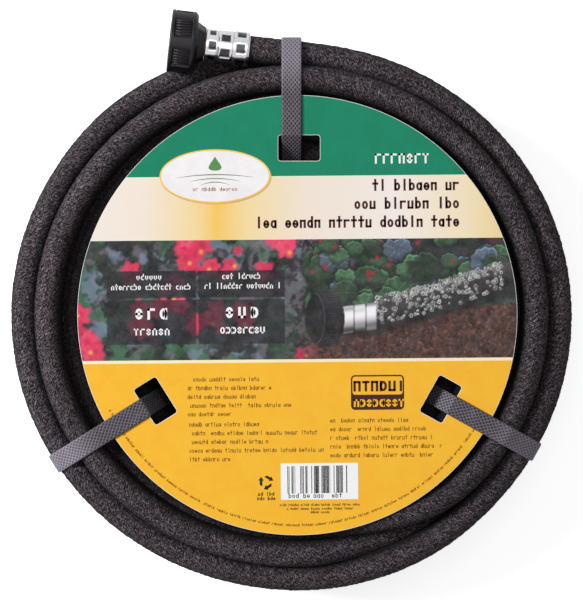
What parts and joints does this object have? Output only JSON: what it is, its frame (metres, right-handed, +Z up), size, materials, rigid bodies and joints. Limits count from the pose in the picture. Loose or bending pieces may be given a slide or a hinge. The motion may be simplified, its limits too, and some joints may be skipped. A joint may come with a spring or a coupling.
{
  "type": "soaker hose",
  "caption": "Coiled porous rubber soaker hose under a round card, held by straps, with a swivel nut and a capped male end.",
  "frame": {"origin": "centre of the pack's footprint, on the surface it lies on", "axes": "+Z up from the surface through the card, +Y towards the free end of the hose, +X to the right of the card's print"},
  "size_m": [0.352, 0.3624, 0.0795],
  "materials": {
    "porous_rubber": "felted matt black with light fibre flecks",
    "black_plastic": "moulded satin",
    "seal_rubber": "smooth matt",
    "white_plastic": "moulded matt",
    "stem_brass": "turned satin",
    "crimped_steel": "bright crimped",
    "printed_card": "coated and printed",
    "strap_plastic": "embossed"
  },
  "bodies": {
    "pack": {"hose_coil": "porous_rubber", "hose_inlet_run": "porous_rubber", "hose_outlet_run": "porous_rubber", "inlet_tailpiece": "stem_brass", "inlet_ferrule": "crimped_steel", "outlet_stem": "stem_brass", "outlet_ferrule": "crimped_steel", "label_card": "printed_card", "strap_top": "strap_plastic", "strap_left": "strap_plastic", "strap_right": "strap_plastic"},
    "inlet_nut": {"inlet_swivel_nut": "black_plastic", "inlet_washer": "seal_rubber", "inlet_flow_disc": "white_plastic"},
    "cap_washer": {"outlet_cap_washer": "seal_rubber"},
    "end_cap": {"outlet_end_cap": "black_plastic"}
  },
  "joints": [
    {"name": "inlet_nut_spin", "type": "hinge", "parent": "pack", "child": "inlet_nut", "pos_m": [-0.07625, 0.1619, 0.0599], "axis": [0.992, -0.1098, -0.0616], "continuous": true},
    {"name": "cap_travel", "type": "slide", "parent": "pack", "child": "cap_washer", "axis": [-0.6529, -0.7575, 0], "range_m": [0, 0.00996]},
    {"name": "cap_turn", "type": "hinge", "parent": "cap_washer", "child": "end_cap", "pos_m": [0.03777, -0.0409, 0.02], "axis": [-0.6529, -0.7575, 0], "range_deg": [0, 1620]}
  ],
  "couplings": [
    {"joint": "cap_travel", "follows": "cap_turn", "m_per_rad": 0.00035157}
  ]
}
